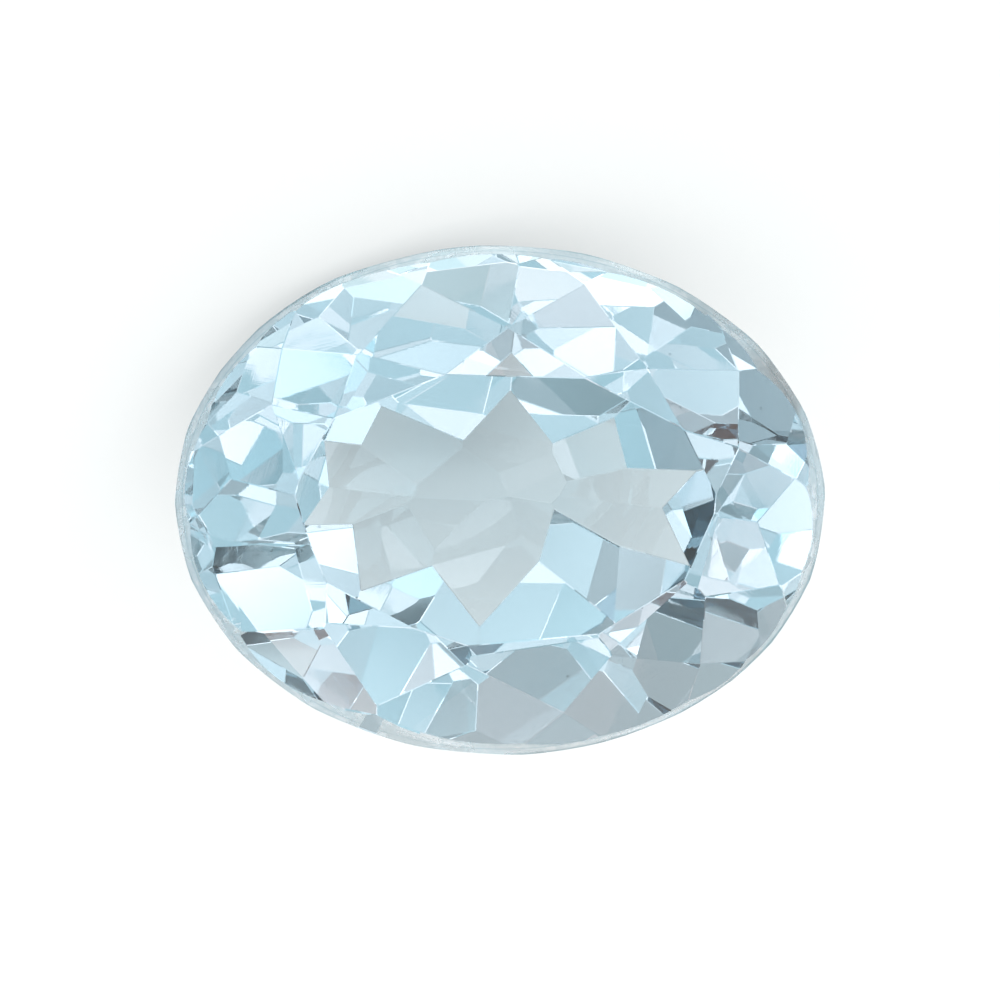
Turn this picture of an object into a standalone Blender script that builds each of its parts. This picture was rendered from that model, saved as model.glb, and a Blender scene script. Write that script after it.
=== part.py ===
"""An oval faceted aquamarine, lying on one of the broad steep facets of its pavilion.

The stone is cut the way a lapidary cuts it. A turned oval blank has its girdle ready, and each facet is
one flat cut across it. The cuts of a hand-cut stone miss their marks a little, so the facets aren't set
by tier angles alone. Each is laid, by least squares, through the meet points where it joins its
neighbours, and is held near the slope of its tier.

Plans are seen from above the table, x along the stone and y across it, in millimetres from the middle.
"""

import math

import bmesh
import bpy
import numpy as np
from mathutils import Matrix, Vector

NAME = "cut_aquamarine"
MM = 0.001

# Driving dimensions, in millimetres
LENGTH = 9.0
WIDTH = 7.05
CROWN_HEIGHT = 1.14
PAVILION_DEPTH = 3.0
GIRDLE_SLANT = 0.24
GIRDLE_WALL = 0.06

# Shares of the oval's half axes, where 1 is the outline
CROWN_EDGE = 0.968
PAVILION_EDGE = 0.985
BREAK_TIP = 0.80

# Slopes from the girdle plane, in degrees
STAR_SLOPE = 25.0
KITE_SLOPE = 35.0
MAIN_SLOPE = 41.0
UPPER_GIRDLE_SLOPE = 45.0
CULET_SLOPE = 31.0
KEEL_SLOPE = 20.0
BREAK_SLOPE = 46.0
LOWER_GIRDLE_SLOPE = 56.0
SIX_O_CLOCK_SLOPE = 34.0
RESTING_SLOPE = 44.0
RESTING_BEARING = 110.5

# The girdle isn't a true oval: it swells at these bearings, as (bearing, share, half angle) in degrees
SWELLS = ((318, 0.016, 24), (129, 0.010, 12), (285, 0.008, 12))

GIRDLE_SIDES = 96
BLANK_TOP = 2.0
BLANK_BOTTOM = -4.0
SNAP = 0.002

# Crown meet points, anticlockwise from three o'clock, one of each for each of the twelve kites.
# A kite's tip meets two mains and an upper girdle facet.
KITE_TIPS = (
    (4.07, 0.27), (3.25, 1.76), (1.15, 2.96), (-1.06, 2.93), (-2.99, 2.06), (-3.86, 0.89),
    (-4.15, -0.26), (-3.58, -1.83), (-1.77, -2.92), (0.84, -2.93), (2.75, -2.24), (3.87, -1.19),
)
# A star's tip meets the kites on both sides of it and the main below it.
STAR_TIPS = (
    (3.25, 0.68), (1.95, 1.80), (0.16, 2.33), (-1.95, 1.97), (-3.10, 1.28), (-3.66, 0.32),
    (-3.42, -0.67), (-2.30, -1.82), (-0.27, -2.20), (1.59, -2.11), (2.86, -1.22), (3.49, -0.27),
)
# A star's two corners on the table.
STAR_CORNERS = (
    ((2.92, 0.08), (2.48, 0.96)),
    ((2.48, 0.96), (1.15, 1.64)),
    ((1.15, 1.64), (-0.74, 1.69)),
    ((-0.74, 1.69), (-2.24, 1.10)),
    ((-2.24, 1.10), (-2.71, 0.27)),
    ((-2.74, 0.16), (-2.77, 0.05)),
    ((-2.77, 0.05), (-2.70, -0.17)),
    ((-2.45, -1.07), (-1.57, -1.53)),
    ((-0.61, -1.99), (-0.06, -1.94)),
    ((1.25, -1.87), (1.76, -1.55)),
    ((2.45, -1.19), (2.57, -0.92)),
    ((2.89, -0.27), (2.92, 0.08)),
)
# The bearings on the girdle between which each upper girdle facet reaches it.
GIRDLE_MARKS = (
    (2, 10), (32, 47), (69, 82), (101, 115), (130, 142), (161, 168),
    (182, 187), (214, 219), (237, 259), (270, 292), (306, 320), (334, 344),
)

# Pavilion meet points, anticlockwise from the right end, for the ten culet facets.
# A culet facet's tip meets the breaks on both sides of it.
CULET_TIPS = (
    (2.68, 0.41), (1.50, 1.17), (0.16, 1.57), (-1.55, 1.32), (-2.28, 0.81),
    (-2.59, -0.34), (-1.80, -1.37), (-0.24, -1.79), (1.47, -1.69), (2.55, -0.93),
)
# A break's inner tip lies between two culet facets.
BREAK_TIPS = (
    (1.77, 0.45), (0.71, 0.77), (-0.53, 0.81), (-1.94, 0.79), (-2.55, 0.09),
    (-2.06, -0.37), (-0.95, -0.89), (0.46, -0.86), (1.73, -0.64), (2.30, -0.12),
)
# Three small facets lie between the culet facets and the keel. These are the meets near the keel.
KEEL_FACETS = {"keel_left": 115, "keel_lower": -125, "keel_right": 60}
KEEL_MEETS = (
    ((0.92, 0.24), ("culet_0", "culet_1", "keel_right")),
    ((0.71, 0.77), ("culet_1", "culet_2", "keel_right")),
    ((0.12, 0.27), ("culet_2", "keel_left", "keel_right")),
    ((0.12, 0.02), ("culet_7", "keel_left", "keel_right")),
    ((-0.50, 0.77), ("culet_2", "culet_3", "keel_left")),
    ((-1.03, 0.23), ("culet_3", "culet_4", "keel_left")),
    ((-1.33, -0.05), ("culet_4", "culet_5", "keel_left", "keel_lower")),
    ((-1.33, -0.06), ("culet_5", "culet_6", "keel_lower")),
    ((-0.90, -0.72), ("culet_6", "culet_7", "keel_lower")),
    ((-0.27, -0.05), ("culet_7", "keel_left", "keel_lower")),
    ((0.77, -0.20), ("culet_7", "culet_8", "culet_9")),
    ((0.78, -0.02), ("culet_0", "culet_7", "culet_9", "keel_right")),
)
KEEL_POINTS = (((0.28, -0.02), "culet_7"), ((-0.61, -0.02), "keel_left"))
RESTING_FACET = "break_2"

COLOUR = (0.62, 0.80, 0.86, 1.0)
REFRACTIVE_INDEX = 1.577


def bearing_of(point):
    """The bearing of a plan point in degrees, with the oval taken back to a circle."""
    return math.degrees(math.atan2(point[1] / WIDTH, point[0] / LENGTH))


def share_of(point):
    """How far out a plan point lies, as a share of the oval's half axes."""
    return 2 * math.hypot(point[0] / LENGTH, point[1] / WIDTH)


def plan_point(bearing, share):
    """The plan point at this bearing and this share of the half axes."""
    angle = math.radians(bearing)
    return (LENGTH / 2 * share * math.cos(angle), WIDTH / 2 * share * math.sin(angle))


def between(first, second):
    """The bearing halfway from the first to the second, going anticlockwise."""
    return first + ((second - first) % 360) / 2


class Tiers:
    """The facets on one side of the girdle, each as a plane: rise = height - tilt_x * x - tilt_y * y."""

    def __init__(self):
        self.index = {}
        self.rows = []
        self.targets = []
        self.nominal = []

    def add(self, name, bearing, slope, share, rise, hold):
        """Add a facet that faces the oval's edge at a bearing, and passes there at this share and rise."""
        angle = math.radians(bearing)
        across = Vector((math.cos(angle) / LENGTH, math.sin(angle) / WIDTH)).normalized()
        tilt = across * math.tan(math.radians(slope))
        height = rise + tilt.dot(Vector(plan_point(bearing, share)))
        self.index[name] = len(self.index)
        self.nominal.append((tilt.x, tilt.y, height, hold))

    def meet(self, point, names, weight=1.0):
        """Ask that these facets have one height at a plan point."""
        for name in names[1:]:
            self.want({names[0]: 1.0, name: -1.0}, point, 0.0, weight)

    def reach(self, point, name, rise, weight):
        """Ask that a facet has this rise at a plan point."""
        self.want({name: 1.0}, point, rise, weight)

    def fix_slope(self, name, bearing, slope, weight):
        """Ask firmly that a facet has this slope and looks to this true bearing, at any height."""
        angle, start = math.radians(bearing), 3 * self.index[name]
        tilt = math.tan(math.radians(slope))
        for offset, share in ((0, math.cos(angle)), (1, math.sin(angle))):
            self.rows.append({start + offset: weight})
            self.targets.append(tilt * share * weight)

    def want(self, signs, point, target, weight):
        """Note one wish: the signed sum of these facets' heights at a point is the target."""
        row = {}
        for name, sign in signs.items():
            start = 3 * self.index[name]
            row[start] = -sign * point[0] * weight
            row[start + 1] = -sign * point[1] * weight
            row[start + 2] = sign * weight
        self.rows.append(row)
        self.targets.append(target * weight)

    def planes(self):
        """Weigh all wishes by least squares, and return each facet's (tilt_x, tilt_y, height)."""
        for number, (tilt_x, tilt_y, height, hold) in enumerate(self.nominal):
            for offset, value, weight in ((0, tilt_x, hold), (1, tilt_y, hold), (2, height, hold * 0.2)):
                self.rows.append({3 * number + offset: weight})
                self.targets.append(value * weight)
        system = np.zeros((len(self.rows), 3 * len(self.index)))
        for line, row in enumerate(self.rows):
            for column, value in row.items():
                system[line, column] = value
        solved = np.linalg.lstsq(system, np.array(self.targets), rcond=None)[0].reshape(-1, 3)
        return {name: tuple(solved[number]) for name, number in self.index.items()}


def lay_crown():
    """The crown: a flat table, then stars, kites, mains and small upper girdle facets, twelve of each."""
    tiers = Tiers()
    tiers.add("table", 0, 0, 0, CROWN_HEIGHT, 50)
    count = len(KITE_TIPS)
    for k in range(count):
        star, kite = STAR_TIPS[k], KITE_TIPS[k]
        tiers.add(f"star_{k}", bearing_of(star), STAR_SLOPE, share_of(star), 0.75, 0.03)
        tiers.add(f"kite_{k}", bearing_of(kite), KITE_SLOPE, share_of(kite), 0.35, 0.03)
        tiers.add(f"main_{k}", bearing_of(star), MAIN_SLOPE, CROWN_EDGE, 0.0, 0.05)
        tiers.add(f"upper_{k}", bearing_of(kite), UPPER_GIRDLE_SLOPE, CROWN_EDGE, 0.0, 0.05)
    for k in range(count):
        following, before = (k + 1) % count, (k - 1) % count
        for corner, kite in zip(STAR_CORNERS[k], (k, following)):
            tiers.reach(corner, f"star_{k}", CROWN_HEIGHT, 1.5)
            tiers.reach(corner, f"kite_{kite}", CROWN_HEIGHT, 1.5)
        tiers.meet(STAR_TIPS[k], (f"kite_{k}", f"star_{k}", f"main_{k}"))
        tiers.meet(STAR_TIPS[k], (f"kite_{following}", f"star_{k}", f"main_{k}"))
        for other in (f"kite_{k}", f"upper_{k}"):
            tiers.meet(KITE_TIPS[k], (other, f"main_{k}", f"main_{before}"))
        first, last = GIRDLE_MARKS[k]
        tiers.meet(plan_point(first, CROWN_EDGE), (f"upper_{k}", f"main_{before}"), 0.5)
        tiers.meet(plan_point(last, CROWN_EDGE), (f"upper_{k}", f"main_{k}"), 0.5)
        tiers.reach(plan_point(between(first, last), CROWN_EDGE), f"upper_{k}", 0.03, 2.0)
        arc_end = GIRDLE_MARKS[following][0]
        tiers.reach(plan_point(between(last, arc_end), CROWN_EDGE), f"main_{k}", 0.0, 0.8)
    return tiers.planes()


def lay_pavilion():
    """The pavilion: shallow culet facets about a keel, steeper breaks, and lower girdle facets."""
    tiers = Tiers()
    count = len(CULET_TIPS)
    bearings = [bearing_of(tip) for tip in CULET_TIPS]
    for k in range(count):
        middle = between(bearings[k], bearings[(k + 1) % count])
        tiers.add(f"culet_{k}", bearings[k], CULET_SLOPE, 0.0, PAVILION_DEPTH, 0.06)
        tiers.add(f"break_{k}", middle, BREAK_SLOPE, 0.93, 0.45, 0.22)
        tiers.add(f"lower_{k}", bearings[k], LOWER_GIRDLE_SLOPE, PAVILION_EDGE, 0.0, 0.06)
        tiers.add(f"lower_between_{k}", middle, LOWER_GIRDLE_SLOPE, PAVILION_EDGE, 0.0, 1.0)
    for name, bearing in KEEL_FACETS.items():
        tiers.add(name, bearing, KEEL_SLOPE, 0.0, PAVILION_DEPTH, 0.02)
    for k in range(count):
        following, before = (k + 1) % count, (k - 1) % count
        tiers.meet(CULET_TIPS[k], (f"culet_{k}", f"break_{before}"))
        tiers.meet(CULET_TIPS[k], (f"culet_{k}", f"break_{k}"))
        tiers.meet(BREAK_TIPS[k], (f"break_{k}", f"culet_{k}", f"culet_{following}"))
        outer = plan_point(bearings[k], BREAK_TIP)
        tiers.meet(outer, (f"lower_{k}", f"break_{before}", f"break_{k}"), 0.7)
        tiers.reach(plan_point(bearings[k], PAVILION_EDGE), f"lower_{k}", 0.0, 0.6)
    for point, names in KEEL_MEETS:
        tiers.meet(point, names)
    for point, name in KEEL_POINTS:
        tiers.reach(point, name, PAVILION_DEPTH, 2.0)
    tiers.fix_slope(RESTING_FACET, RESTING_BEARING, RESTING_SLOPE, 50)
    tiers.fix_slope("culet_7", -90, SIX_O_CLOCK_SLOPE, 50)
    return tiers.planes()


def swell(bearing):
    """How far the outline stands out from a true oval at a bearing, as a share."""
    total = 0.0
    for middle, share, half_angle in SWELLS:
        away = (bearing - middle + 180) % 360 - 180
        total += share * math.exp(-((away / half_angle) ** 2))
    return total


def turn_blank():
    """The oval blank: a profile turned about the vertical, with the girdle's wall and slant on it."""
    blank = bmesh.new()
    slant_top = 1 - (BLANK_TOP + GIRDLE_SLANT) * (1 - CROWN_EDGE) / GIRDLE_SLANT
    profile = (
        (0.0, BLANK_BOTTOM),
        (1.0, BLANK_BOTTOM),
        (1.0, -GIRDLE_SLANT),
        (slant_top, BLANK_TOP),
        (0.0, BLANK_TOP),
    )
    points = [blank.verts.new((radius, 0.0, height)) for radius, height in profile]
    lines = [blank.edges.new(pair) for pair in zip(points, points[1:])]
    bmesh.ops.spin(
        blank,
        geom=points + lines,
        axis=(0, 0, 1),
        cent=(0, 0, 0),
        angle=math.tau,
        steps=GIRDLE_SIDES,
        use_merge=True,
    )
    bmesh.ops.remove_doubles(blank, verts=blank.verts, dist=SNAP)
    bmesh.ops.recalc_face_normals(blank, faces=blank.faces)
    for vertex in blank.verts:
        out = 1 + swell(math.degrees(math.atan2(vertex.co.y, vertex.co.x)))
        vertex.co.x *= out * LENGTH / 2
        vertex.co.y *= out * WIDTH / 2
    return blank


def grind(stone, point, outward):
    """Grind one flat facet: clear all that lies outside a plane, and close the cut."""
    geometry = stone.verts[:] + stone.edges[:] + stone.faces[:]
    cut = bmesh.ops.bisect_plane(
        stone, geom=geometry, dist=SNAP, plane_co=point, plane_no=outward, clear_outer=True
    )
    rim = [item for item in cut["geom_cut"] if isinstance(item, bmesh.types.BMEdge)]
    bmesh.ops.edgeloop_fill(stone, edges=[edge for edge in rim if edge.is_boundary])


def cut_stone():
    """Cut every facet of the crown and the pavilion on the blank."""
    stone = turn_blank()
    for tilt_x, tilt_y, height in lay_crown().values():
        grind(stone, Vector((0, 0, height)), Vector((tilt_x, tilt_y, 1)).normalized())
    girdle_bottom = -(GIRDLE_SLANT + GIRDLE_WALL)
    for tilt_x, tilt_y, depth in lay_pavilion().values():
        grind(stone, Vector((0, 0, girdle_bottom - depth)), Vector((tilt_x, tilt_y, -1)).normalized())
    bmesh.ops.remove_doubles(stone, verts=stone.verts, dist=SNAP)
    bmesh.ops.dissolve_degenerate(stone, edges=stone.edges, dist=SNAP)
    bmesh.ops.recalc_face_normals(stone, faces=stone.faces)
    bmesh.ops.scale(stone, vec=(MM, MM, MM), verts=stone.verts)
    return stone


def pose():
    """The turn that lays the resting facet flat, which tips the table toward -Y."""
    toward_viewer = Matrix.Rotation(math.radians(-90 - RESTING_BEARING), 4, "Z")
    return Matrix.Rotation(math.radians(RESTING_SLOPE), 4, "X") @ toward_viewer


def aquamarine_material():
    """Pale blue clear beryl."""
    material = bpy.data.materials.new("pale_aquamarine")
    material.use_nodes = True
    shader = material.node_tree.nodes["Principled BSDF"]
    shader.inputs["Base Color"].default_value = COLOUR
    shader.inputs["Roughness"].default_value = 0.02
    shader.inputs["Metallic"].default_value = 0.0
    shader.inputs["Transmission Weight"].default_value = 1.0
    shader.inputs["IOR"].default_value = REFRACTIVE_INDEX
    material.diffuse_color = COLOUR
    return material


def make_stone(collection):
    """Make the stone, turn it to its resting pose and set it on the ground about the origin."""
    stone = cut_stone()
    bmesh.ops.transform(stone, matrix=pose(), verts=stone.verts)
    corners = np.array([vertex.co for vertex in stone.verts])
    low, high = corners.min(axis=0), corners.max(axis=0)
    ground = Vector((-(low[0] + high[0]) / 2, -(low[1] + high[1]) / 2, -low[2]))
    bmesh.ops.translate(stone, vec=ground, verts=stone.verts)
    mesh = bpy.data.meshes.new(NAME)
    stone.to_mesh(mesh)
    stone.free()
    mesh.materials.append(aquamarine_material())
    collection.objects.link(bpy.data.objects.new(NAME, mesh))


def main():
    """Clear the scene and make the stone in a collection of its own."""
    for old in list(bpy.data.objects):
        bpy.data.objects.remove(old)
    collection = bpy.data.collections.new("oval_cut_aquamarine")
    bpy.context.scene.collection.children.link(collection)
    make_stone(collection)


main()
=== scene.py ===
"""The looks of an oval faceted aquamarine that lies on a pavilion facet, seen square on to its table."""

import logging
import math
from dataclasses import dataclass, field
from enum import Enum
from typing import Any, Iterable, Optional, Union

import bmesh
import bpy
from mathutils import Matrix, Vector


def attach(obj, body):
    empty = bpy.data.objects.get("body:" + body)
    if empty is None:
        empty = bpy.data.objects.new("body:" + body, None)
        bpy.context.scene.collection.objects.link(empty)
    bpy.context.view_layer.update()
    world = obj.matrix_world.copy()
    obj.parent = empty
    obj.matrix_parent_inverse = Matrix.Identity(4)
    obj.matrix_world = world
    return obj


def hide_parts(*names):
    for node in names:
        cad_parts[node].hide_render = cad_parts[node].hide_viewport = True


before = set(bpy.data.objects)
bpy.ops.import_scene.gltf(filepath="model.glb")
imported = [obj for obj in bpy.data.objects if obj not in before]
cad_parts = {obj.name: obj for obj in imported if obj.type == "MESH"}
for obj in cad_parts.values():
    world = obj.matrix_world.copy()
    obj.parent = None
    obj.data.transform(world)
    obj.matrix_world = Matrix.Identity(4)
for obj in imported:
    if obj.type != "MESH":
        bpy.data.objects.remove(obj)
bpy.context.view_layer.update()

LOG = logging.getLogger("aquamarine")

NODE = "cut_aquamarine"
MM = 0.001
RESTING_SLOPE = math.radians(44.0)
RESTING_BEARING = math.radians(110.5)
LIGHT_PATHS = {
    "max_bounces": 18,
    "diffuse_bounces": 2,
    "glossy_bounces": 16,
    "transmission_bounces": 16,
    "transparent_max_bounces": 16,
    "caustics_refractive": False,
    "caustics_reflective": False,
    "sampling_pattern": "TABULATED_SOBOL",
    "use_denoising": True,
}

Number = Union[int, float]
Colour = tuple[float, float, float, float]
Triple = tuple[float, float, float]


class Surface(Enum):
    """The two ways in which the stone is finished, with the place of each in its material slots."""

    POLISHED = 0
    FROSTED = 1


class Wire:
    """A node's output socket that takes part in sums, so that shader maths reads as Python."""

    def __init__(self, tree: bpy.types.NodeTree, socket: Optional[bpy.types.NodeSocket]) -> None:
        """Wrap a socket.

        Args:
            tree: the node tree that the socket belongs to.
            socket: the output socket, or None for a node that has no output.
        """
        self.tree = tree
        self.socket = socket

    def _maths(self, operation: str, first: Any, second: Any) -> "Wire":
        """Add one Math node.

        Args:
            operation: the Math node's operation.
            first: a Wire or a number.
            second: a Wire or a number.

        Returns:
            The Wire of the node's result.
        """
        node = self.tree.nodes.new("ShaderNodeMath")
        node.operation = operation
        for place, value in enumerate((first, second)):
            if isinstance(value, Wire):
                self.tree.links.new(value.socket, node.inputs[place])
            else:
                node.inputs[place].default_value = float(value)
        return Wire(self.tree, node.outputs[0])

    def __add__(self, other: Any) -> "Wire":
        """Add a number or a Wire."""
        return self._maths("ADD", self, other)

    def __sub__(self, other: Any) -> "Wire":
        """Take a number or a Wire away."""
        return self._maths("SUBTRACT", self, other)

    def __rsub__(self, other: Number) -> "Wire":
        """Take this from a number."""
        return self._maths("SUBTRACT", other, self)

    def __mul__(self, other: Any) -> "Wire":
        """Multiply by a number or a Wire."""
        return self._maths("MULTIPLY", self, other)

    def __pow__(self, other: Number) -> "Wire":
        """Raise to a power."""
        return self._maths("POWER", self, other)

    def above(self, low: Number, high: Number) -> "Wire":
        """Rise smoothly from 0 to 1.

        Args:
            low: the value at which the rise starts.
            high: the value at which it ends.

        Returns:
            The Wire of the smooth step.
        """
        node = self.tree.nodes.new("ShaderNodeMapRange")
        node.interpolation_type = "SMOOTHSTEP"
        self.tree.links.new(self.socket, node.inputs["Value"])
        node.inputs["From Min"].default_value = float(low)
        node.inputs["From Max"].default_value = float(high)
        return Wire(self.tree, node.outputs["Result"])

    def twin(self, name: str) -> "Wire":
        """Return the Wire of another output of the same node."""
        return Wire(self.tree, self.socket.node.outputs[name])


class Sheet:
    """A node tree that is being written, for a material or for the world."""

    def __init__(self, owner: Union[bpy.types.Material, bpy.types.World]) -> None:
        """Start from an empty tree.

        Args:
            owner: the material or world whose nodes are made.
        """
        owner.use_nodes = True
        self.tree = owner.node_tree
        self.tree.nodes.clear()

    def add(
        self,
        kind: str,
        inputs: Optional[dict[str, Any]] = None,
        output: Union[int, str] = 0,
        **settings: Any,
    ) -> Wire:
        """Add any node.

        Args:
            kind: the node's type.
            inputs: the value or the Wire of each input socket, by the socket's name or number.
            output: the output socket to return.
            settings: the node's own settings, which are set before its sockets.

        Returns:
            The Wire of the chosen output.
        """
        node = self.tree.nodes.new(kind)
        for name, value in settings.items():
            setattr(node, name, value)
        for name, value in (inputs or {}).items():
            socket = node.inputs[int(name)] if name.isdigit() else node.inputs[name]
            if isinstance(value, Wire):
                self.tree.links.new(value.socket, socket)
            else:
                socket.default_value = value
        return Wire(self.tree, node.outputs[output] if node.outputs else None)

    def noise(self, place: Wire, scale: float, detail: float = 2.0) -> Wire:
        """Add a noise of some scale.

        Args:
            place: the coordinates.
            scale: cells in a metre.
            detail: the number of finer octaves.

        Returns:
            The Wire of the noise, from 0 to 1.
        """
        inputs = {"Vector": place, "Scale": scale, "Detail": detail}
        return self.add("ShaderNodeTexNoise", inputs, "Fac")

    def vectors(self, operation: str, first: Wire, second: Any, output: str) -> Wire:
        """Add one Vector Math node.

        Args:
            operation: the Vector Math node's operation.
            first: the Wire of a vector.
            second: the Wire of a vector, or a vector.
            output: Vector or Value.

        Returns:
            The Wire of the node's result.
        """
        return self.add("ShaderNodeVectorMath", {"0": first, "1": second}, output, operation=operation)

    def blend(self, share: Wire, start: Colour, end: Colour) -> Wire:
        """Blend two colours.

        Args:
            share: how much of the second colour shows, from 0 to 1.
            start: the first colour.
            end: the second colour.

        Returns:
            The Wire of the blended colour.
        """
        return self.add("ShaderNodeMix", {"0": share, "6": start, "7": end}, 2, data_type="RGBA")

    def object_place(self) -> Wire:
        """Return the Wire of the object coordinates, in metres."""
        return self.add("ShaderNodeTexCoord", output="Object")

    def bump(self, height: Wire, strength: float, distance: float) -> Wire:
        """Add a bump.

        Args:
            height: the height map.
            strength: the share of the bump that shows.
            distance: the height of a value of 1, in metres.

        Returns:
            The Wire of the bent normal.
        """
        inputs = {"Height": height, "Strength": strength, "Distance": distance}
        return self.add("ShaderNodeBump", inputs, "Normal")

    def finish(self, surface: Wire, volume: Optional[Wire] = None, kind: str = "Material") -> None:
        """Link the last shaders to the output.

        Args:
            surface: the surface shader.
            volume: the volume shader, if any.
            kind: Material or World.
        """
        inputs = {"Surface": surface}
        if volume is not None:
            inputs["Volume"] = volume
        self.add(f"ShaderNodeOutput{kind}", inputs)


@dataclass(frozen=True)
class Patches:
    """Soft-edged patches of a finish: they start where a noise passes a level, and are full at another."""

    scale: float
    starts: float
    full: float
    detail: float = 2.0

    def add_to(self, sheet: Sheet, place: Wire) -> Wire:
        """Add the patches.

        Args:
            sheet: the node tree of the finish.
            place: the coordinates.

        Returns:
            The Wire of the patches, 0 between them and 1 where they are full.
        """
        return sheet.noise(place, self.scale, self.detail).above(self.starts, self.full)


@dataclass(frozen=True)
class BerylBody:
    """What the stone is made of: how it bends light, and how it takes red first and blue least."""

    index: float = 1.577
    density: float = 128.0
    colour: Colour = (0.0, 0.27, 0.39, 1.0)

    def cover(self, sheet: Sheet, surface: dict[str, Any]) -> None:
        """Put a surface on the stone's body.

        Args:
            sheet: the node tree of the finish.
            surface: the surface shader's inputs, without its index.
        """
        shader = sheet.add("ShaderNodeBsdfPrincipled", {"Metallic": 0.0, "IOR": self.index, **surface})
        absorption = {"Color": self.colour, "Density": self.density}
        sheet.finish(shader, sheet.add("ShaderNodeVolumeAbsorption", absorption))


@dataclass(frozen=True)
class PolishedFacets:
    """Clear flat facets with faint parallel lines that the lap left, and a few specks of dust."""

    body: BerylBody = BerylBody()
    line_scale: float = 26000.0
    line_detail: float = 3.0
    line_depth: float = 0.0003 * MM
    line_strength: float = 0.6
    smears: Patches = Patches(scale=900.0, starts=0.5, full=0.72)
    roughness: float = 0.004
    roughness_spread: float = 0.02
    speck_scale: float = 1200.0
    speck_core: float = 0.021
    speck_reach: float = 0.035
    clear: Colour = (0.985, 0.995, 1.0, 1.0)
    dusty: Colour = (0.42, 0.45, 0.46, 1.0)

    def material(self) -> bpy.types.Material:
        """Make the material.

        Returns:
            The clear polished material.
        """
        material = bpy.data.materials.new("polished_beryl")
        sheet = Sheet(material)
        place = sheet.object_place()
        lap = sheet.add("ShaderNodeAttribute", output="Vector", attribute_name="lap_across")
        along = sheet.vectors("DOT_PRODUCT", place, lap, "Value")
        axis = sheet.add("ShaderNodeCombineXYZ", {"X": along})
        fine = sheet.noise(axis, self.line_scale, self.line_detail)
        smears = self.smears.add_to(sheet, place)
        cells = {"Vector": place, "Scale": self.speck_scale}
        from_speck = sheet.add("ShaderNodeTexVoronoi", cells, "Distance")
        speck = 1 - from_speck.above(self.speck_core, self.speck_reach)
        surface = {
            "Base Color": sheet.blend(speck, self.clear, self.dusty),
            "Roughness": smears * fine * self.roughness_spread + self.roughness,
            "Transmission Weight": 1.0,
            "Normal": sheet.bump(fine * smears, self.line_strength, self.line_depth),
        }
        self.body.cover(sheet, surface)
        return material


@dataclass(frozen=True)
class FrostedGirdle:
    """The ground girdle: fine grains, small bright pits, a sheen where it is half polished, two dark lines.

    One line is painted shade along the outer corner, and the other a thin darker line drawn along the band.
    Their places are shares of the oval's half axes.
    """

    body: BerylBody = BerylBody()
    grain_scale: float = 16000.0
    grain_detail: float = 4.0
    grain_height: float = 0.6
    grain_depth: float = 0.005 * MM
    grain_strength: float = 0.7
    pits: Patches = Patches(scale=5200.0, starts=0.52, full=0.68, detail=3.0)
    worn: Patches = Patches(scale=700.0, starts=0.42, full=0.62)
    smooth: float = 0.2
    rough: float = 0.55
    clearness: float = 0.8
    chalk: Colour = (0.94, 0.975, 0.98, 1.0)
    # the dark end of the blend: the grain's darker tone, the inner line, and painted shade at the outer
    # corner
    shaded: Colour = (0.25, 0.42, 0.47, 1.0)
    paleness: float = 0.35
    inner_line: float = 0.973
    inner_line_reach: float = 0.004
    inner_line_darkness: float = 0.6
    corner: float = 0.991
    rim: float = 0.997
    painted_corner_shade: float = 0.9

    def inner_line_and_corner_shade(self, sheet: Sheet) -> Wire:
        """Find the darker inner line and the painted shade at the outer corner.

        Args:
            sheet: the node tree of the finish.

        Returns:
            The Wire of how dark the lines are, 0 away from them.
        """
        share = sheet.add("ShaderNodeAttribute", output="Fac", attribute_name="rim_share")
        # a thin darker line drawn along the band, inward of the outer corner
        rise = share.above(self.inner_line - self.inner_line_reach, self.inner_line)
        fall = share.above(self.inner_line, self.inner_line + self.inner_line_reach)
        # painted shade: the colour darkens over the girdle's outermost share, up to its corner
        corner = share.above(self.corner, self.rim)
        return (rise - fall) * self.inner_line_darkness + corner * self.painted_corner_shade

    def material(self) -> bpy.types.Material:
        """Make the material.

        Returns:
            The frosted material.
        """
        material = bpy.data.materials.new("frosted_beryl")
        sheet = Sheet(material)
        place = sheet.object_place()
        grain = sheet.noise(place, self.grain_scale, self.grain_detail)
        pits = self.pits.add_to(sheet, place)
        worn = self.worn.add_to(sheet, place)
        height = grain * self.grain_height + pits
        # the grain's tone, with a darker inner line and painted shade at the outer corner taken off it
        pale = ((pits + grain) * 0.5 + self.paleness) * (1 - self.inner_line_and_corner_shade(sheet))
        surface = {
            "Base Color": sheet.blend(pale, self.shaded, self.chalk),
            "Roughness": (pits + worn) * ((self.rough - self.smooth) / 2) + self.smooth,
            "Transmission Weight": self.clearness,
            "Normal": sheet.bump(height, self.grain_strength, self.grain_depth),
        }
        self.body.cover(sheet, surface)
        return material


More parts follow.
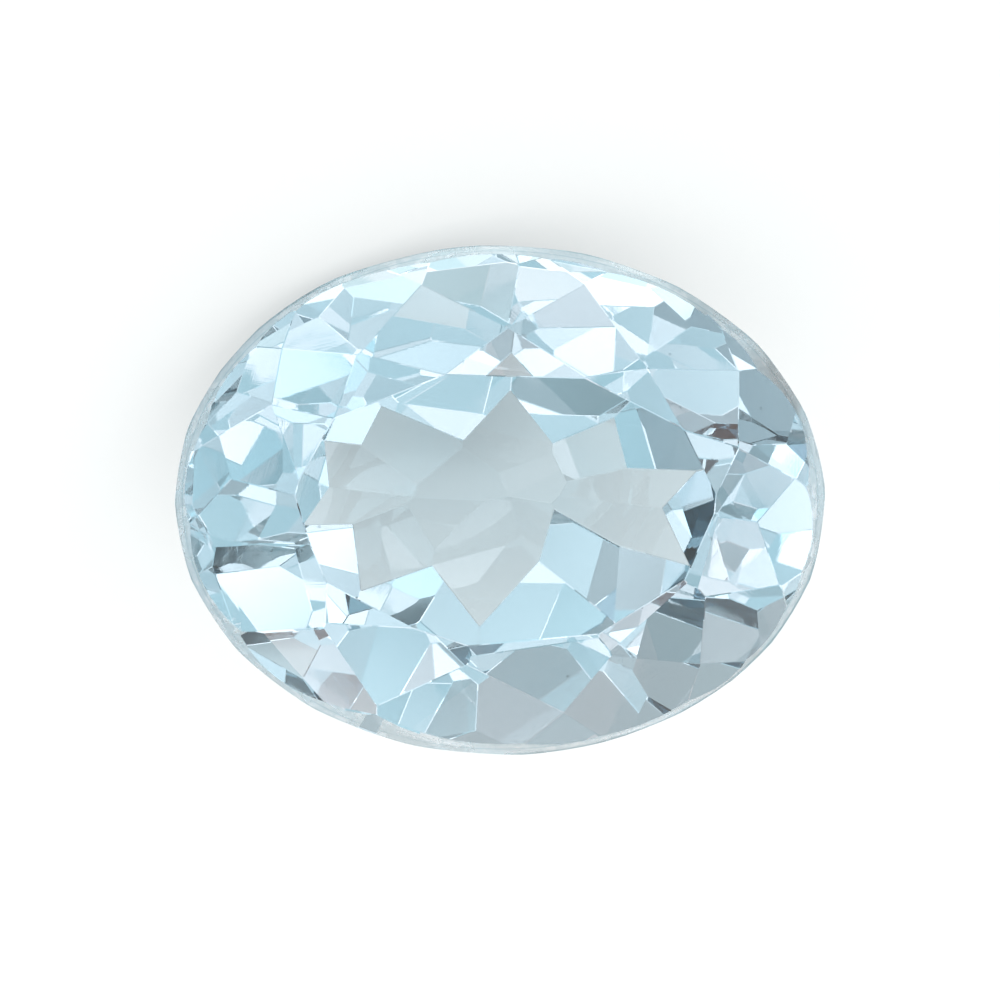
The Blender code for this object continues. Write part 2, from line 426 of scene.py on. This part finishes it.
@dataclass
class CutStone:
    """The stone as it looks: the solid's facets with their edges eased, on a frosted girdle.

    Triangles that turn less than flat_turn make one facet, and girdle faces that turn less than round_turn
    one round band. An edge isn't eased where its cut would take more than spare past twice its own depth.
    Turns are in radians, but girdle_span, the bearing that a girdle face stays under, is in degrees.
    """

    edge_width: float = 0.017 * MM
    rim_width: float = 0.05 * MM
    girdle_span: float = 4.2
    girdle_share: float = 0.92
    flat_turn: float = math.radians(0.15)
    round_turn: float = math.radians(12.0)
    snap: float = 0.0005 * MM
    spare: float = 0.002 * MM
    lap_turn: float = 2.4
    polished: PolishedFacets = PolishedFacets()
    frosted: FrostedGirdle = FrostedGirdle()
    half_length: float = field(init=False, default=0.0)
    half_width: float = field(init=False, default=0.0)
    middle: Vector = field(init=False, default_factory=Vector)

    def __post_init__(self) -> None:
        """Measure the oval on the solid, square on to its table."""
        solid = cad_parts[NODE]
        points = [self.upright() @ vertex.co for vertex in solid.data.vertices]
        low = Vector(min(point[axis] for point in points) for axis in range(3))
        high = Vector(max(point[axis] for point in points) for axis in range(3))
        self.middle = (low + high) / 2
        self.half_length = (high.x - low.x) / 2
        self.half_width = (high.y - low.y) / 2

    @staticmethod
    def upright() -> Matrix:
        """Return the turn that takes the lying stone to table up, with its long axis along x."""
        level = Matrix.Rotation(-RESTING_SLOPE, 3, "X")
        return Matrix.Rotation(math.pi / 2 + RESTING_BEARING, 3, "Z") @ level

    def plan(self, point: Vector) -> tuple[float, float]:
        """Find where a point lies on the oval's plan.

        Args:
            point: a point on the lying stone.

        Returns:
            Its bearing in degrees, and its share of the half axes.
        """
        flat = self.upright() @ point - self.middle
        across, up = flat.x / self.half_length, flat.y / self.half_width
        return math.degrees(math.atan2(up, across)), math.hypot(across, up)

    def is_girdle(self, face: bmesh.types.BMFace) -> bool:
        """Tell the girdle's narrow faces from the facets.

        Args:
            face: a face of the stone.

        Returns:
            True for a face of the girdle.
        """
        spots = [self.plan(vertex.co) for vertex in face.verts]
        first = spots[0][0]
        turns = [(bearing - first + 180) % 360 - 180 for bearing, _ in spots]
        outer = min(share for _, share in spots) > self.girdle_share
        return outer and max(turns) - min(turns) < self.girdle_span

    def solid_facets(self) -> bmesh.types.BMesh:
        """Read the solid and join its triangles to whole facets.

        Returns:
            The mesh of whole facets.
        """
        mesh = bmesh.new()
        mesh.from_mesh(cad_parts[NODE].data)
        bmesh.ops.remove_doubles(mesh, verts=mesh.verts, dist=self.snap)
        bmesh.ops.dissolve_limit(mesh, angle_limit=self.flat_turn, verts=mesh.verts, edges=mesh.edges)
        bmesh.ops.recalc_face_normals(mesh, faces=mesh.faces)
        return mesh

    def ease(self, mesh: bmesh.types.BMesh) -> None:
        """Take a hair off every edge, as wear and polishing do, with one narrow flat cut along it.

        Args:
            mesh: the mesh of whole facets.
        """
        cuts = []
        corners = [vertex.co.copy() for vertex in mesh.verts]
        for edge in mesh.edges:
            if len(edge.link_faces) != 2:
                continue
            one, other = edge.link_faces
            girdle = self.is_girdle(one), self.is_girdle(other)
            turn = one.normal.angle(other.normal)
            if all(girdle) and turn < self.round_turn:
                continue
            width = self.rim_width if any(girdle) else self.edge_width
            outward = (one.normal + other.normal).normalized()
            middle = (edge.verts[0].co + edge.verts[1].co) / 2
            depth = width / 2 * math.tan(turn / 2)
            point = middle - outward * depth
            reach = max((corner - point).dot(outward) for corner in corners)
            if reach < 2 * depth + self.spare:
                cuts.append((point, outward))
        for point, outward in cuts:
            self.slice(mesh, point, outward)

    def slice(self, mesh: bmesh.types.BMesh, point: Vector, outward: Vector) -> None:
        """Clear what lies outside a plane and close the cut.

        Args:
            mesh: the mesh to cut.
            point: a point on the plane.
            outward: the side that is cleared.
        """
        geometry = mesh.verts[:] + mesh.edges[:] + mesh.faces[:]
        cut = bmesh.ops.bisect_plane(
            mesh, geom=geometry, dist=self.snap, plane_co=point, plane_no=outward, clear_outer=True
        )
        rim = [item for item in cut["geom_cut"] if isinstance(item, bmesh.types.BMEdge)]
        open_rim = [edge for edge in rim if edge.is_boundary]
        if open_rim:
            bmesh.ops.edgeloop_fill(mesh, edges=open_rim)

    def mark_surfaces(self, mesh: bmesh.types.BMesh) -> None:
        """Give each face its finish and its lap's direction, and each corner its share of the oval.

        Args:
            mesh: the eased mesh.
        """
        layer = mesh.faces.layers.float_vector.new("lap_across")
        rim_share = mesh.verts.layers.float.new("rim_share")
        for vertex in mesh.verts:
            vertex[rim_share] = self.plan(vertex.co)[1]
        for number, face in enumerate(mesh.faces):
            frosted = self.is_girdle(face)
            face.material_index = (Surface.FROSTED if frosted else Surface.POLISHED).value
            face.smooth = frosted
            turn = Matrix.Rotation(self.lap_turn * number, 3, face.normal)
            face[layer] = turn @ face.normal.orthogonal().normalized()

    def build(self) -> bpy.types.Object:
        """Make and dress the stone.

        Returns:
            The object that stands for the solid.
        """
        mesh = self.solid_facets()
        self.ease(mesh)
        bmesh.ops.recalc_face_normals(mesh, faces=mesh.faces)
        self.mark_surfaces(mesh)
        data = bpy.data.meshes.new("polished_stone")
        mesh.to_mesh(data)
        mesh.free()
        for finish in (self.polished, self.frosted):
            data.materials.append(finish.material())
        stone = bpy.data.objects.new("polished_stone", data)
        bpy.context.scene.collection.objects.link(stone)
        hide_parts(NODE)
        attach(stone, "root")
        return stone


@dataclass
class Ground:
    """The plain pale floor that the stone lies on: a sheet of matt white plastic, lit softly from below."""

    side: float = 0.6
    gap: float = 0.02 * MM
    colour: Colour = (0.225, 0.235, 0.237, 1.0)
    lit: Colour = (0.95, 1.0, 1.01, 1.0)
    glow: float = 0.61
    sheen: float = 0.1
    roughness: float = 0.85
    roughness_spread: float = 0.1
    grain_scale: float = 9000.0
    grain_detail: float = 3.0
    grain_depth: float = 0.002 * MM
    grain_strength: float = 0.1

    def material(self) -> bpy.types.Material:
        """Make the material.

        Returns:
            The matt plastic that glows softly.
        """
        material = bpy.data.materials.new("pale_plastic")
        material.cycles.emission_sampling = "NONE"
        sheet = Sheet(material)
        grain = sheet.noise(sheet.object_place(), self.grain_scale, self.grain_detail)
        surface = {
            "Base Color": self.colour,
            "Roughness": grain * self.roughness_spread + self.roughness,
            "Specular IOR Level": self.sheen,
            "Emission Color": self.lit,
            "Emission Strength": self.glow,
            "Normal": sheet.bump(grain, self.grain_strength, self.grain_depth),
        }
        sheet.finish(sheet.add("ShaderNodeBsdfPrincipled", surface))
        return material

    def build(self) -> bpy.types.Object:
        """Make the floor.

        Returns:
            The floor.
        """
        mesh = bmesh.new()
        bmesh.ops.create_grid(mesh, x_segments=1, y_segments=1, size=self.side / 2)
        data = bpy.data.meshes.new("floor")
        mesh.to_mesh(data)
        mesh.free()
        data.materials.append(self.material())
        floor = bpy.data.objects.new("floor", data)
        floor.location.z = -self.gap
        bpy.context.scene.collection.objects.link(floor)
        return floor


@dataclass(frozen=True)
class Panel:
    """A soft-edged round panel of the light tent, brighter or dimmer than the cloth round it.

    Its place, and the two reaches between which it fades, are in degrees.
    """

    azimuth: float
    elevation: float
    inner: float
    outer: float
    level: float

    def add_to(self, sheet: Sheet, direction: Wire) -> Wire:
        """Add the panel's light.

        Args:
            sheet: the world's node tree.
            direction: the direction that is lit.

        Returns:
            The Wire of what the panel adds to the cloth's light.
        """
        turn, rise = math.radians(self.azimuth), math.radians(self.elevation)
        middle = (math.sin(turn) * math.cos(rise), -math.cos(turn) * math.cos(rise), math.sin(rise))
        near = sheet.vectors("DOT_PRODUCT", direction, middle, "Value")
        low, high = math.cos(math.radians(self.outer)), math.cos(math.radians(self.inner))
        return near.above(low, high) * self.level


@dataclass
class Studio:
    """A light tent of pale cloth: its dim folds are cool, its bright folds warm, and panels hang in it."""

    dim: float = 1.55
    middling: float = 2.1
    bright: float = 3.3
    few: float = 5.0
    fold_scale: float = 10.0
    fold_shift: Triple = (1.4, 0.2, 1.6)
    sag: float = 0.8
    sag_middle: float = 0.5
    cool: Colour = (0.82, 1.0, 1.01, 1.0)
    warm: Colour = (1.2, 1.0, 0.95, 1.0)
    panels: tuple[Panel, ...] = (
        Panel(azimuth=30, elevation=55, inner=6, outer=11, level=-0.8),
        Panel(azimuth=157, elevation=70, inner=8, outer=15, level=-0.6),
        Panel(azimuth=-55, elevation=32, inner=7, outer=13, level=0.8),
        Panel(azimuth=10, elevation=32, inner=6, outer=12, level=-0.6),
        Panel(azimuth=42, elevation=70, inner=3, outer=6, level=1.6),
        Panel(azimuth=-25, elevation=71, inner=4, outer=8, level=1.6),
    )

    def build(self) -> bpy.types.World:
        """Light the scene.

        Returns:
            The world that is the light tent.
        """
        world = bpy.data.worlds.new("light_tent")
        bpy.context.scene.world = world
        sheet = Sheet(world)
        direction = sheet.add("ShaderNodeTexCoord", output="Generated")
        hung = sheet.vectors("ADD", direction, self.fold_shift, "Vector")
        folds = sheet.add("ShaderNodeTexVoronoi", {"Vector": hung, "Scale": self.fold_scale}, "Color")
        share = sheet.add("ShaderNodeSeparateColor", {"Color": folds}, "Red")
        level = share * (self.middling - self.dim) + self.dim
        level = level + share**self.few * (self.bright - self.middling)
        level = level - (folds.twin("Distance") - self.sag_middle) * self.sag
        for panel in self.panels:
            level = level + panel.add_to(sheet, direction)
        light = {"Color": sheet.blend(share, self.cool, self.warm), "Strength": level}
        sheet.finish(sheet.add("ShaderNodeBackground", light), kind="World")
        return world


@dataclass
class TableCamera:
    """A long lens that looks straight down on the table, as the photograph does.

    It aims above the stone's middle, at the height of the girdle. Its clipping starts at a share of its
    distance.
    """

    frame_width: float = 13.80 * MM
    aim_rise: float = 1.0 * MM
    lens: float = 150.0
    sensor: float = 36.0
    clip_share: float = 0.1
    clip_end: float = 5.0

    def build(self, stone: CutStone) -> bpy.types.Object:
        """Place the camera.

        Args:
            stone: the stone that it faces.

        Returns:
            The camera.
        """
        distance = self.frame_width * self.lens / self.sensor
        lying = CutStone.upright().inverted()
        toward = lying @ Vector((0, 0, 1))
        girdle = lying @ (stone.middle + Vector((0, 0, self.aim_rise)))
        data = bpy.data.cameras.new("camera")
        data.lens = self.lens
        data.sensor_width = self.sensor
        data.clip_start = distance * self.clip_share
        data.clip_end = self.clip_end
        camera = bpy.data.objects.new("camera", data)
        camera.location = girdle + toward * distance
        camera.rotation_mode = "QUATERNION"
        camera.rotation_quaternion = lying.to_quaternion()
        bpy.context.scene.collection.objects.link(camera)
        bpy.context.scene.camera = camera
        return camera


def set_light_paths() -> None:
    """Set how often light turns about inside the stone, and how the picture is shown."""
    for name, value in LIGHT_PATHS.items():
        setattr(bpy.context.scene.cycles, name, value)
    view = bpy.context.scene.view_settings
    view.view_transform = "Standard"
    view.look = "None"


def main() -> None:
    """Build the stone, the floor, the lights and the camera."""
    logging.basicConfig(level=logging.INFO, format="%(message)s")
    stone = CutStone()
    piece = stone.build()
    LOG.info("%s: %d faces", piece.name, len(piece.data.polygons))
    floor = Ground().build()
    LOG.info("%s: %.2f m", floor.name, floor.dimensions.x)
    world = Studio().build()
    LOG.info("%s: %d nodes", world.name, len(world.node_tree.nodes))
    camera = TableCamera().build(stone)
    LOG.info("%s: lens %.0f mm", camera.name, camera.data.lens)
    set_light_paths()
    bpy.context.view_layer.update()


if __name__ == "__main__":
    main()
